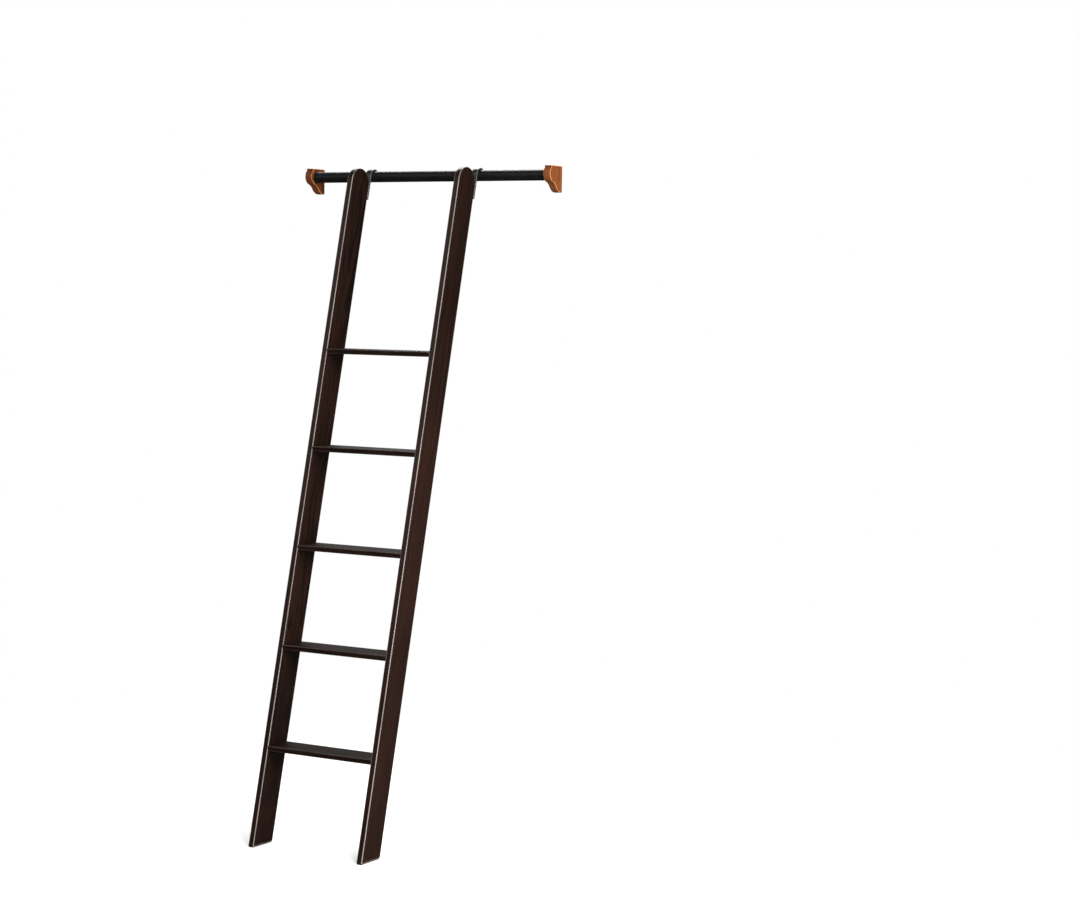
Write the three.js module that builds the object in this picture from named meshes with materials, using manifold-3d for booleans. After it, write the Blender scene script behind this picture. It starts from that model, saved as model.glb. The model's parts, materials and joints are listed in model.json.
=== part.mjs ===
// A library ladder: two leaning stiles, five flat treads and two steel hooks that ride on a round rail
// held between two wooden brackets. Millimetres, +Z up, +X along the rail, +Y towards the bookcase.
// The origin is on the floor, in the middle of the object's box.

import * as THREE from "three";
import { mergeVertices } from "three/addons/utils/BufferGeometryUtils.js";
import Module from "manifold-3d";

const wasm = await Module();
wasm.setup();

// ---------------------------------------------------------------- driving dimensions

const GAP = 0.3; // left between pieces that touch

const LEAN = THREE.MathUtils.degToRad(13.25); // the stiles' lean from the vertical
const LADDER_WIDTH = 420.5; // over the stiles
const LADDER_SHIFT = -16; // where the ladder stands along the rail, from its middle

const STILE_THICKNESS = 19;
const STILE_DEPTH = 96; // width of the board, square to its length
const STILE_EDGE = 1.8; // eased edges
const STILE_TOP_DROP = 42.7; // from the rail's axis down the stile to the centre of its round top

const TREAD_COUNT = 5;
const TREAD_PITCH = 304.8; // from the floor to the first tread's top, and from tread to tread
const TREAD_THICKNESS = 16.5;
const TREAD_EDGE = 3;

const DOWEL_RADIUS = 4;
const DOWEL_IN_STILE = 11;
const DOWEL_IN_TREAD = 21;
const DOWEL_SPREAD = 56; // between the two dowels at a tread's end
const DOWEL_PLAY = 0.2;
const DOWEL_CHAMFER = 1;
const DOWEL_SIDES = 12;

const PAD_THICKNESS = 2.5;
const PAD_INSET = 1.2;

const RAIL_RADIUS = 17.4;
const RAIL_WALL = 2;
const RAIL_HEIGHT = 2074.6; // the rail's axis above the floor
const RAIL_SIDES = 48;

const HOOK_THICKNESS = 6;
const HOOK_WIDTH = 20; // a little wider than the stile is thick
const HOOK_PLAY = 1; // between the rail and the inside of the hook
const HOOK_LEG = 82; // down the stile, from the rail's axis
const HOOK_TAIL = 11; // down behind the rail, from the rail's axis
const HOOK_EDGE = 0.8;
const HOOK_ARC_STEPS = 24;

const SCREW_DROPS = { upper: 38, lower: 68 }; // down the hook's leg, from the rail's axis
const SCREW_HEAD_RADIUS = 4.4;
const SCREW_SHANK_RADIUS = 2.1;
const SCREW_LENGTH = 32;
const SCREW_POINT = 5;
const SCREW_PLAY = 0.25;
const SCREW_SIDES = 16;

const BRACKET_THICKNESS = 25.4;
const BRACKET_CLEAR = 875; // between the two brackets
const BRACKET_EDGE = 1.2;
const BRACKET_BACK = 46; // from the rail's axis back to the bookcase
const BRACKET_FOOT_DROP = 53; // from the rail's axis down to the bracket's lowest point
const NOSE_RADIUS = 26; // the round nose in front of the rail
const NOSE_FORWARD = 3; // how far the nose's centre lies in front of the rail's axis
const NOSE_LIFT = 2.5; // and above it
const NOSE_END = THREE.MathUtils.degToRad(255); // where the round nose turns into the hollow
const NOSE_STEPS = 20;
const CAP_FRONT = 21; // of the square cap above the nose, in front of the rail's axis
const CAP_THICKNESS = 4;
const CAP_QUIRK = 1; // the upright step between the cap's underside and the nose
const COVE_RADIUS = 35; // the hollow that follows the nose
const COVE_TURN = THREE.MathUtils.degToRad(40);
const COVE_STEPS = 6;
const FOOT_STEPS = 8; // of the round foot, which turns back to level
const SOCKET_DEPTH = 14;
const SOCKET_PLAY = 0.5;
const PILOT_RADIUS = 1.75;
const PILOT_DEPTH = 25;
const PILOT_HEIGHTS = [16, -36]; // of the two pilot holes, from the rail's axis

// ---------------------------------------------------------------- derived places

const COS = Math.cos(LEAN);
const SIN = Math.sin(LEAN);
const TAN = Math.tan(LEAN);

const HOOK_INNER = RAIL_RADIUS + HOOK_PLAY;
const HOOK_OUTER = HOOK_INNER + HOOK_THICKNESS;

// In the leaning frame, whose origin is the rail's axis and whose Z runs up the stile.
const STILE_REAR = -(HOOK_OUTER + GAP);
const STILE_FRONT = STILE_REAR - STILE_DEPTH;
const STILE_MIDDLE = (STILE_REAR + STILE_FRONT) / 2;
const STILE_FOOT_HEIGHT = PAD_THICKNESS + GAP;

const STILE_X = (LADDER_WIDTH - STILE_THICKNESS) / 2;
const INSIDE_WIDTH = LADDER_WIDTH - 2 * STILE_THICKNESS;
const TREAD_LENGTH = INSIDE_WIDTH - 2 * GAP;
const TREAD_DEPTH = STILE_DEPTH / COS;

const FOOT_FRONT = levelY(STILE_FRONT, STILE_FOOT_HEIGHT);
const OBJECT_MIDDLE_Y = (FOOT_FRONT + BRACKET_BACK) / 2;

// The horizontal place, at a height above the floor, of a line at `across` in the leaning frame.
function levelY(across, height) {
  return across / COS + TAN * (height - RAIL_HEIGHT);
}

// A point given from the rail's axis in the upright frame, in the leaning frame.
function leaning(y, z) {
  return { y: y * COS - z * SIN, z: y * SIN + z * COS };
}

// ---------------------------------------------------------------- materials

const finishes = {
  darkWood: { color: 0x261b18, roughness: 0.42, metalness: 0 },
  steel: { color: 0x1b1a1a, roughness: 0.4, metalness: 0.6 },
  screw: { color: 0x3a3836, roughness: 0.35, metalness: 0.9 },
  cherry: { color: 0x9a5f38, roughness: 0.5, metalness: 0 },
  beech: { color: 0xc9a57a, roughness: 0.7, metalness: 0 },
  rubber: { color: 0x141414, roughness: 0.85, metalness: 0 },
};

function namedMesh(name, geometry, finish) {
  const mesh = new THREE.Mesh(geometry, new THREE.MeshStandardMaterial(finishes[finish]));
  mesh.name = name;
  return mesh;
}

// ---------------------------------------------------------------- solids

function bare(geometry) {
  const copy = geometry.index ? geometry.toNonIndexed() : geometry.clone();
  copy.deleteAttribute("normal");
  copy.deleteAttribute("uv");
  return mergeVertices(copy, 1e-4);
}

function solid(geometry) {
  const merged = bare(geometry);
  return new wasm.Manifold(
    new wasm.Mesh({
      numProp: 3,
      vertProperties: merged.attributes.position.array,
      triVerts: new Uint32Array(merged.index.array),
    }),
  );
}

function geometryOf(body) {
  const mesh = body.getMesh();
  const positions = new Float32Array(mesh.numVert * 3);
  for (let i = 0; i < mesh.numVert; i++) {
    positions.set(mesh.vertProperties.subarray(i * mesh.numProp, i * mesh.numProp + 3), i * 3);
  }
  return new THREE.BufferGeometry()
    .setAttribute("position", new THREE.BufferAttribute(positions, 3))
    .setIndex(new THREE.BufferAttribute(new Uint32Array(mesh.triVerts), 1));
}

function cut(geometry, cutters) {
  let body = solid(geometry);
  for (const cutter of cutters) {
    body = body.subtract(solid(cutter));
  }
  return geometryOf(body);
}

// An outline in the Y-Z plane made into a board of the given thickness, centred on x = 0.
function board(outline, thickness, edge, edgeSteps = 2) {
  const shape = new THREE.Shape(outline.map(([y, z]) => new THREE.Vector2(y, z)));
  const depth = thickness - 2 * edge;
  const geometry = new THREE.ExtrudeGeometry(shape, {
    depth,
    bevelEnabled: true,
    bevelThickness: edge,
    bevelSize: edge,
    bevelOffset: -edge,
    bevelSegments: edgeSteps,
  });
  geometry.translate(0, 0, -depth / 2);
  const turn = new THREE.Matrix4().makeBasis(
    new THREE.Vector3(0, 1, 0),
    new THREE.Vector3(0, 0, 1),
    new THREE.Vector3(1, 0, 0),
  );
  return geometry.applyMatrix4(turn);
}

// Points on an arc in the Y-Z plane, from one angle to another, both included.
function arc(centreY, centreZ, radiusY, radiusZ, from, to, steps) {
  const points = [];
  for (let i = 0; i <= steps; i++) {
    const angle = from + ((to - from) * i) / steps;
    points.push([centreY + radiusY * Math.cos(angle), centreZ + radiusZ * Math.sin(angle)]);
  }
  return points;
}

// A turned solid along +X: [distance along X, radius] from one end to the other.
function turned(profile, sides) {
  const points = profile.map(([x, radius]) => new THREE.Vector2(radius, x));
  return new THREE.LatheGeometry(points, sides).rotateZ(-Math.PI / 2);
}

function rod(from, to, radius, sides) {
  const profile = [
    [from, 0],
    [from, radius],
    [to, radius],
    [to, 0],
  ];
  return turned(profile, sides);
}

// ---------------------------------------------------------------- the ladder's pieces

// Each tread's middle and its two dowels, from the rail's axis in the upright frame.
function treadMiddle(level) {
  const z = TREAD_PITCH * level - TREAD_THICKNESS / 2;
  return { y: levelY(STILE_MIDDLE, z), z: z - RAIL_HEIGHT };
}

function dowelPlaces(level) {
  const middle = treadMiddle(level);
  return {
    front: { y: middle.y - DOWEL_SPREAD / 2, z: middle.z },
    rear: { y: middle.y + DOWEL_SPREAD / 2, z: middle.z },
  };
}

// A stile is a board with a round top, a foot cut level with the floor, blind dowel holes in its
// inner face and pilot holes for the hook's screws in its rear edge.
function stileGeometry(innerSide) {
  const footFront = (STILE_FOOT_HEIGHT - RAIL_HEIGHT + STILE_FRONT * SIN) / COS;
  const footRear = (STILE_FOOT_HEIGHT - RAIL_HEIGHT + STILE_REAR * SIN) / COS;
  const radius = STILE_DEPTH / 2;
  const outline = [
    [STILE_FRONT, footFront],
    [STILE_REAR, footRear],
    ...arc(STILE_MIDDLE, -STILE_TOP_DROP, radius, radius, 0, Math.PI, 28),
  ];
  const cutters = [];
  const innerFace = (innerSide * STILE_THICKNESS) / 2;
  const holeEnd = innerFace - innerSide * (DOWEL_IN_STILE + GAP);
  for (let level = 1; level <= TREAD_COUNT; level++) {
    for (const place of Object.values(dowelPlaces(level))) {
      const at = leaning(place.y, place.z);
      const ends = [holeEnd, innerFace + innerSide].sort((a, b) => a - b);
      const hole = rod(ends[0], ends[1], DOWEL_RADIUS + DOWEL_PLAY, DOWEL_SIDES);
      cutters.push(hole.translate(0, at.y, at.z));
    }
  }
  for (const drop of Object.values(SCREW_DROPS)) {
    cutters.push(screwGeometry(SCREW_PLAY).translate(0, -HOOK_INNER, -drop));
  }
  return cut(board(outline, STILE_THICKNESS, STILE_EDGE), cutters);
}

// A tread is a flat board with rounded long edges, laid level, with two blind dowel holes in each end.
function treadGeometry() {
  const y = TREAD_DEPTH / 2 - TREAD_EDGE;
  const z = TREAD_THICKNESS / 2 - TREAD_EDGE;
  const quarter = Math.PI / 2;
  const outline = [
    ...arc(y, -z, TREAD_EDGE, TREAD_EDGE, -quarter, 0, 3),
    ...arc(y, z, TREAD_EDGE, TREAD_EDGE, 0, quarter, 3),
    ...arc(-y, z, TREAD_EDGE, TREAD_EDGE, quarter, 2 * quarter, 3),
    ...arc(-y, -z, TREAD_EDGE, TREAD_EDGE, 2 * quarter, 3 * quarter, 3),
  ];
  const cutters = [];
  const depth = DOWEL_IN_TREAD + GAP;
  for (const side of [-1, 1]) {
    for (const offset of [-DOWEL_SPREAD / 2, DOWEL_SPREAD / 2]) {
      const ends = [(side * TREAD_LENGTH) / 2 - side * depth, (side * TREAD_LENGTH) / 2 + side];
      ends.sort((a, b) => a - b);
      const hole = rod(ends[0], ends[1], DOWEL_RADIUS + DOWEL_PLAY, DOWEL_SIDES);
      cutters.push(hole.translate(0, offset, 0));
    }
  }
  return cut(board(outline, TREAD_LENGTH, 0.4, 1), cutters);
}

// A dowel's middle is the stile's inner face, so that x < 0 is the end inside the stile.
function dowelGeometry() {
  const profile = [
    [-DOWEL_IN_STILE, 0],
    [-DOWEL_IN_STILE, DOWEL_RADIUS - DOWEL_CHAMFER],
    [-DOWEL_IN_STILE + DOWEL_CHAMFER, DOWEL_RADIUS],
    [DOWEL_IN_TREAD - DOWEL_CHAMFER, DOWEL_RADIUS],
    [DOWEL_IN_TREAD, DOWEL_RADIUS - DOWEL_CHAMFER],
    [DOWEL_IN_TREAD, 0],
  ];
  return turned(profile, DOWEL_SIDES);
}

// A flat steel bar bent over the rail: a long leg down the stile's rear edge, a half turn over the
// rail and a short tail behind it that ends above the rail's underside, with two countersunk screw
// holes in the leg.
function hookGeometry() {
  const outline = [
    ...arc(0, 0, HOOK_OUTER, HOOK_OUTER, 0, Math.PI, HOOK_ARC_STEPS),
    [-HOOK_OUTER, -HOOK_LEG],
    [-HOOK_INNER, -HOOK_LEG],
    ...arc(0, 0, HOOK_INNER, HOOK_INNER, Math.PI, 0, HOOK_ARC_STEPS),
    [HOOK_INNER, -HOOK_TAIL],
    [HOOK_OUTER, -HOOK_TAIL],
  ];
  const cutters = Object.values(SCREW_DROPS).map((drop) =>
    screwGeometry(SCREW_PLAY).translate(0, -HOOK_INNER, -drop),
  );
  return cut(board(outline, HOOK_WIDTH, HOOK_EDGE, 1), cutters);
}

// A countersunk wood screw whose head is flush at y = 0 and which points towards -Y. With play, it is
// the hole for that screw, open at the head.
function screwGeometry(play = 0) {
  const head = SCREW_HEAD_RADIUS + play;
  const shank = SCREW_SHANK_RADIUS + play;
  const sink = play ? 1 : -0.1; // a hole's mouth runs past the face, and a head lies just under it
  const profile = [
    [-sink, 0],
    [-sink, head],
    [0.4, head],
    [0.4 + head - shank, shank],
    [SCREW_LENGTH - SCREW_POINT + play, shank],
    [SCREW_LENGTH + play, play ? shank / 2 : 0.4],
    [SCREW_LENGTH + play, 0],
  ];
  return turned(profile, SCREW_SIDES).rotateZ(-Math.PI / 2);
}

// A thin pad under a stile's foot, set in a little from its edges.
function padGeometry() {
  const front = levelY(STILE_FRONT, 0) + PAD_INSET;
  const rear = levelY(STILE_REAR, 0) - PAD_INSET;
  const outline = [
    [front, -RAIL_HEIGHT],
    [rear, -RAIL_HEIGHT],
    [rear, PAD_THICKNESS - RAIL_HEIGHT],
    [front, PAD_THICKNESS - RAIL_HEIGHT],
  ];
  return board(outline, STILE_THICKNESS - 2 * PAD_INSET, 0.3, 1);
}

// ---------------------------------------------------------------- the rail's pieces

function railGeometry() {
  const end = BRACKET_CLEAR / 2 + SOCKET_DEPTH - 2 * GAP;
  const profile = [
    [-end, RAIL_RADIUS - RAIL_WALL],
    [-end, RAIL_RADIUS],
    [end, RAIL_RADIUS],
    [end, RAIL_RADIUS - RAIL_WALL],
    [-end, RAIL_RADIUS - RAIL_WALL],
  ];
  return turned(profile, RAIL_SIDES);
}

// A bracket's side view: a flat top, a round nose about the rail, and an underside that curves in and
// out again, as an ogee, down to its foot at the bookcase.
function bracketOutline() {
  const top = NOSE_LIFT + NOSE_RADIUS;
  const capUnder = top - CAP_THICKNESS;
  const noseRise = NOSE_RADIUS - CAP_THICKNESS - CAP_QUIRK;
  const noseStart = Math.PI - Math.asin(noseRise / NOSE_RADIUS);
  const nose = arc(-NOSE_FORWARD, NOSE_LIFT, NOSE_RADIUS, NOSE_RADIUS, noseStart, NOSE_END, NOSE_STEPS);

  // The hollow's centre lies outside the board, on the line from the nose's centre through its end.
  const coveY = -NOSE_FORWARD + (NOSE_RADIUS + COVE_RADIUS) * Math.cos(NOSE_END);
  const coveZ = NOSE_LIFT + (NOSE_RADIUS + COVE_RADIUS) * Math.sin(NOSE_END);
  const coveStart = NOSE_END - Math.PI;
  const coveEnd = coveStart - COVE_TURN;
  const cove = arc(coveY, coveZ, COVE_RADIUS, COVE_RADIUS, coveStart, coveEnd, COVE_STEPS);

  // The foot's arc leaves the hollow in the same direction and ends level.
  const [lastY, lastZ] = cove[cove.length - 1];
  const footStart = coveEnd + Math.PI;
  const footRadius = (BRACKET_FOOT_DROP + lastZ) / (1 + Math.sin(footStart));
  const footY = lastY - footRadius * Math.cos(footStart);
  const footZ = lastZ - footRadius * Math.sin(footStart);
  const foot = arc(footY, footZ, footRadius, footRadius, footStart, 1.5 * Math.PI, FOOT_STEPS);
  return [
    [BRACKET_BACK, top],
    [-CAP_FRONT, top],
    [-CAP_FRONT, capUnder],
    [nose[0][0], capUnder],
    ...nose,
    ...cove.slice(1),
    ...foot.slice(1),
    [BRACKET_BACK, -BRACKET_FOOT_DROP],
  ];
}

// A bracket is a board with a blind socket in its inner face for the rail's end, and two pilot holes
// in its back for screws from inside the bookcase.
function bracketGeometry(innerSide) {
  const innerFace = (innerSide * BRACKET_THICKNESS) / 2;
  const socketEnds = [innerFace - innerSide * SOCKET_DEPTH, innerFace + innerSide];
  socketEnds.sort((a, b) => a - b);
  const cutters = [rod(socketEnds[0], socketEnds[1], RAIL_RADIUS + SOCKET_PLAY, RAIL_SIDES)];
  for (const height of PILOT_HEIGHTS) {
    const hole = rod(BRACKET_BACK - PILOT_DEPTH, BRACKET_BACK + 1, PILOT_RADIUS, DOWEL_SIDES);
    cutters.push(hole.rotateZ(Math.PI / 2).translate(0, 0, height));
  }
  return cut(board(bracketOutline(), BRACKET_THICKNESS, BRACKET_EDGE), cutters);
}

// ---------------------------------------------------------------- assembly

const SIDES = { left: -1, right: 1 };

// The stiles, hooks and screws stand in the leaning frame.
function leaningPieces() {
  const group = new THREE.Group();
  group.rotation.x = -LEAN;
  for (const [side, sign] of Object.entries(SIDES)) {
    const pieces = [
      namedMesh(`${side}_stile`, stileGeometry(-sign), "darkWood"),
      namedMesh(`${side}_hook`, hookGeometry(), "steel"),
    ];
    for (const [place, drop] of Object.entries(SCREW_DROPS)) {
      const screw = namedMesh(`${side}_hook_screw_${place}`, screwGeometry(), "screw");
      screw.position.set(0, -HOOK_INNER, -drop);
      pieces.push(screw);
    }
    const half = new THREE.Group();
    half.position.x = sign * STILE_X;
    half.add(...pieces);
    group.add(half);
  }
  return group;
}

// The treads lie level between the stiles, each on two dowels at either end.
function levelPieces() {
  const group = new THREE.Group();
  for (let level = 1; level <= TREAD_COUNT; level++) {
    const middle = treadMiddle(level);
    const tread = namedMesh(`tread_${level}`, treadGeometry(), "darkWood");
    tread.position.set(0, middle.y, middle.z);
    group.add(tread);
    for (const [side, sign] of Object.entries(SIDES)) {
      for (const [place, at] of Object.entries(dowelPlaces(level))) {
        const dowel = namedMesh(`tread_${level}_dowel_${side}_${place}`, dowelGeometry(), "beech");
        dowel.position.set((sign * INSIDE_WIDTH) / 2, at.y, at.z);
        dowel.rotation.y = sign > 0 ? Math.PI : 0;
        group.add(dowel);
      }
    }
  }
  for (const [side, sign] of Object.entries(SIDES)) {
    const pad = namedMesh(`${side}_foot_pad`, padGeometry(), "rubber");
    pad.position.x = sign * STILE_X;
    group.add(pad);
  }
  return group;
}

function railAssembly() {
  const group = new THREE.Group();
  group.add(namedMesh("rail", railGeometry(), "steel"));
  for (const [side, sign] of Object.entries(SIDES)) {
    const bracket = namedMesh(`${side}_bracket`, bracketGeometry(-sign), "cherry");
    bracket.position.x = (sign * (BRACKET_CLEAR + BRACKET_THICKNESS)) / 2;
    group.add(bracket);
  }
  return group;
}

const ladder = new THREE.Group();
ladder.position.x = LADDER_SHIFT;
ladder.add(leaningPieces(), levelPieces());

const libraryLadder = new THREE.Group();
libraryLadder.position.set(0, -OBJECT_MIDDLE_Y, RAIL_HEIGHT);
libraryLadder.add(ladder, railAssembly());

export default libraryLadder;
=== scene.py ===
"""A library ladder on its rail: the finished pieces, their materials, the light and the camera.

Each piece is made in a small frame of its own, X across, and is then set in place. The rail and the
brackets stand upright about the rail's axis. The stiles, hooks and screws lean about the same axis. The
treads, dowels and pads are level, about their own middles.
"""

import json
import math

import bmesh
import bpy
from mathutils import Matrix, Vector


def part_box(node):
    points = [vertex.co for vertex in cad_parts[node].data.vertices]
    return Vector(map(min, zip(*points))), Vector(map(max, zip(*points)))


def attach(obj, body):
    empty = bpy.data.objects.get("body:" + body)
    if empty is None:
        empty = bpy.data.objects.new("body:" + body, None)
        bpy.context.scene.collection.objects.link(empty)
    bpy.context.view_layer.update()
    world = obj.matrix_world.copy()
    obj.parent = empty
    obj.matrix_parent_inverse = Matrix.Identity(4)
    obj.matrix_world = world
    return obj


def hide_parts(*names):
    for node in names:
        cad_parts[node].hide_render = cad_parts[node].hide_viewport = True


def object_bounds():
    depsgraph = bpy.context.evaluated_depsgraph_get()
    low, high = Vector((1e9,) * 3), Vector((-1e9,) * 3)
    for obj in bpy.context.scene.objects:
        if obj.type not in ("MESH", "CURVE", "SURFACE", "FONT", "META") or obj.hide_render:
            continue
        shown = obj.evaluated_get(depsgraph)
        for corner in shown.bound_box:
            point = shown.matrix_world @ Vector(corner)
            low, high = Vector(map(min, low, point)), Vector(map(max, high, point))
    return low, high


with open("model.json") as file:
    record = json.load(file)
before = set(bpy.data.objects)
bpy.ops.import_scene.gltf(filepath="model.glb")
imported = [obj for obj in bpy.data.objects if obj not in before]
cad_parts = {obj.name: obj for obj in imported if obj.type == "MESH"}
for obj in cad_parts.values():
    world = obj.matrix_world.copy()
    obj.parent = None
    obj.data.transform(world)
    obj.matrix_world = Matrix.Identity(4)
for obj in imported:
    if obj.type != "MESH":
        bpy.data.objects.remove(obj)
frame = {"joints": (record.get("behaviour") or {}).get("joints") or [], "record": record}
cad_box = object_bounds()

scene = bpy.context.scene
MM = 0.001
QUARTER = math.pi / 2

# ---------------------------------------------------------------- driving dimensions

LEAN = math.radians(13.25)
GAP = 0.3 * MM

# Every board's rounded rims and corners.
WEAR_AND_HIGHLIGHT_MARGIN = 1.2 * MM  # how far the rubbed colour, partly a painted highlight, runs past a rounded edge
RIM_WEAR_AND_HIGHLIGHT = 0.45  # at the ends of a rim's rounding, out of 1 at its middle
EDGE_STEPS = 4
CORNER_STEPS = 5
CORNER_ROOM = 0.45  # the share of a side that the rounding at one of its ends may take
LEAST_TURN = math.radians(30)  # a corner that turns less than this stays as it is
SMALLEST_RADIUS = 0.05 * MM

# The tree that a board was sawn from, and how much each board's place in it differs.
PITH_DISTANCE = 60 * MM  # from the pith to the middle of the board, through its thickness
PITH_DISTANCE_SPREAD = 0.4
PITH_OFFSET = 30 * MM  # and across its depth

CUT_PAST = 1 * MM  # how far a cutter stands out of the face it cuts

STILE_DEPTH = 96 * MM
STILE_EDGE = 1.8 * MM
STILE_TOP_DROP = 42.7 * MM  # from the rail's axis to the centre of the round top, along the stile
STILE_TOP_STEPS = 72
STILE_TOP_SPARED = 0.85  # the share of rubbed wear and painted highlight that the round top is spared
SPARED_FROM = 0.2  # where that starts, as a share of the top's radius above its centre
SPARED_OVER = 0.6
FOOT_CORNER = 1 * MM

TREAD_EDGE = 3 * MM
TREAD_END_EDGE = 0.5 * MM
# How much rubbed, paler colour a tread's long edges get: partly wear, partly a soft painted highlight.
TREAD_FRONT_WEAR_AND_HIGHLIGHT = 0.16
TREAD_EDGE_WEAR_AND_HIGHLIGHT = 0.08

DOWEL_RADIUS = 4 * MM
DOWEL_PLAY = 0.2 * MM
DOWEL_FLUTES = 16
DOWEL_FLUTE_DEPTH = 0.3 * MM
DOWEL_CHAMFER = 1 * MM

RAIL_WALL = 2 * MM
RAIL_SEGMENTS = 96
RAIL_END_EDGE = 0.4 * MM

HOOK_PLAY = 1 * MM
HOOK_THICKNESS = 6 * MM
HOOK_LEG = 82 * MM
HOOK_TAIL = 11 * MM
HOOK_EDGE = 0.9 * MM
HOOK_WEAR_AND_HIGHLIGHT_MARGIN = 0.8 * MM
HOOK_CORNER = 1.5 * MM
HOOK_STEPS = 48

SCREW_DROPS = {"upper": 38 * MM, "lower": 68 * MM}
SCREW_HEAD_RADIUS = 4.4 * MM
SCREW_HEAD_RIM = 0.4 * MM  # the straight stretch above the countersink
SCREW_NECK_RADIUS = 1.95 * MM
SCREW_NECK = 9 * MM  # the plain stretch under the head
SCREW_CORE_RADIUS = 1.45 * MM
SCREW_THREAD_RADIUS = 2.1 * MM
SCREW_PITCH = 1.9 * MM
SCREW_CREST = 3.2  # how steeply the thread's flanks rise
SCREW_LENGTH = 32 * MM
SCREW_POINT = 5 * MM
SCREW_POINT_TAPER = 0.86  # the share of its radius that the point loses
SCREW_PLAY = 0.25 * MM
SCREW_SEGMENTS = 32
SCREW_ROWS_PER_TURN = 10
SCREW_SHARP = 28  # degrees, so that the thread's crests stay crisp
RECESS_LENGTH = 5 * MM
RECESS_WIDTH = 1.1 * MM
RECESS_DEPTH = 2.1 * MM
RECESS_RISE = 0.5 * MM  # how far its cutter stands out of the head
RECESS_TAPER = 0.35  # its length at the bottom, as a share of its length at the top
RECESS_EDGE = 0.1 * MM
RECESS_MARGIN = 0.05 * MM

BRACKET_EDGE = 1.5 * MM
BRACKET_WEAR_AND_HIGHLIGHT_MARGIN = 0.35 * MM  # narrow, because the cap is thin
BRACKET_BACK = 46 * MM  # from the rail's axis back to the bookcase
BRACKET_FOOT_DROP = 53 * MM  # and down to the bracket's lowest point
NOSE_RADIUS = 26 * MM
NOSE_FORWARD = 3 * MM
NOSE_LIFT = 2.5 * MM
NOSE_END = math.radians(255)  # where the round nose turns into the hollow
NOSE_STEPS = 48
CAP_FRONT = 21 * MM
CAP_THICKNESS = 4 * MM
CAP_QUIRK = 1 * MM  # the upright step between the cap's underside and the nose
COVE_RADIUS = 35 * MM  # the hollow that follows the nose
COVE_TURN = math.radians(40)
COVE_STEPS = 16
FOOT_STEPS = 20
SOCKET_DEPTH = 14 * MM
SOCKET_PLAY = 0.5 * MM
PILOT_RADIUS = 1.75 * MM
PILOT_DEPTH = 25 * MM
PILOT_HEIGHTS = (16 * MM, -36 * MM)
PILOT_SEGMENTS = 24

PAD_CORNER = 1.2 * MM
PAD_EDGE = 0.4 * MM
PAD_MARGIN = 0.3 * MM

# ---------------------------------------------------------------- places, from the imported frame

BODY_OF = {}
for body, nodes in frame["record"]["behaviour"]["bodies"].items():
    for node in nodes:
        BODY_OF[node] = body

tilt = next(joint for joint in frame["joints"] if joint["name"] == "ladder_tilt")
AXIS_Y, AXIS_Z = tilt["pos_m"][1:]
UPRIGHT = Matrix.Translation((0, AXIS_Y, AXIS_Z))
LEANING = UPRIGHT @ Matrix.Rotation(-LEAN, 4, "X")


def middle(node):
    low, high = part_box(node)
    return (low + high) / 2


def size(node):
    low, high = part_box(node)
    return high - low


def on_axis(node, frame_of_axis):
    """A frame about the rail's axis, upright or leaning, moved along it to the node's middle."""
    return Matrix.Translation((middle(node).x, 0, 0)) @ frame_of_axis


RAIL_RADIUS = size("rail").z / 2
HOOK_INNER = RAIL_RADIUS + HOOK_PLAY
HOOK_OUTER = HOOK_INNER + HOOK_THICKNESS
STILE_REAR = -(HOOK_OUTER + GAP)
STILE_MIDDLE = STILE_REAR - STILE_DEPTH / 2
STILE_FRONT = STILE_REAR - STILE_DEPTH
SIDES = {"left": -1, "right": 1}
TREADS = [f"tread_{level}" for level in range(1, 6)]

# ---------------------------------------------------------------- outlines, as (y, z) points


def towards(angle, distance):
    return Vector((math.cos(angle), math.sin(angle))) * distance


def arc(centre, radius, start, end, steps):
    """Points on an arc of a circle, both ends included."""
    turn = (end - start) / steps
    return [Vector(centre) + towards(start + turn * step, radius) for step in range(steps + 1)]


def rectangle(half_y, half_z):
    return [Vector((y * half_y, z * half_z)) for y, z in ((-1, -1), (1, -1), (1, 1), (-1, 1))]


def sides_at(outline, i):
    """The unit directions in which an outline reaches and leaves a corner, and the shorter side there."""
    arriving = outline[i] - outline[i - 1]
    leaving = outline[(i + 1) % len(outline)] - outline[i]
    shorter = min(arriving.length, leaving.length)
    return arriving.normalized(), leaving.normalized(), shorter


def corner_radii(outline, radius):
    """The radius to round each corner of an anticlockwise outline with: 0 where it barely turns."""
    radii = []
    for i in range(len(outline)):
        arriving, leaving, shorter = sides_at(outline, i)
        turn = arriving.angle(leaving)
        room = CORNER_ROOM * shorter / math.tan(turn / 2) if turn > LEAST_TURN else 0
        radii.append(min(radius, room))
    return radii


def drawn_in(outline, radii, distance):
    """The anticlockwise outline moved inwards, with an arc of the same number of steps at each corner."""
    ring = []
    for i, (corner, radius) in enumerate(zip(outline, radii)):
        arriving, leaving, _ = sides_at(outline, i)
        normals = [Vector((-d.y, d.x)) for d in (arriving, leaving)]
        mitre = (normals[0] + normals[1]) / (1 + normals[0].dot(normals[1]))
        moved = corner + mitre * distance
        if radius == 0:
            ring.append(moved)
            continue
        turn = -arriving.angle_signed(leaving)
        reach = max(radius - math.copysign(distance, turn), SMALLEST_RADIUS)
        centre = moved + (leaving - arriving).normalized() * (reach / math.cos(turn / 2))
        spoke = moved - arriving * (reach * math.tan(abs(turn) / 2)) - centre
        for step in range(CORNER_STEPS + 1):
            ring.append(centre + Matrix.Rotation(turn * step / CORNER_STEPS, 2) @ spoke)
    return ring


# ---------------------------------------------------------------- surfaces


def new_surface():
    surface = bmesh.new()
    surface.verts.layers.float.new("wear_and_highlight")
    return surface


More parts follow.
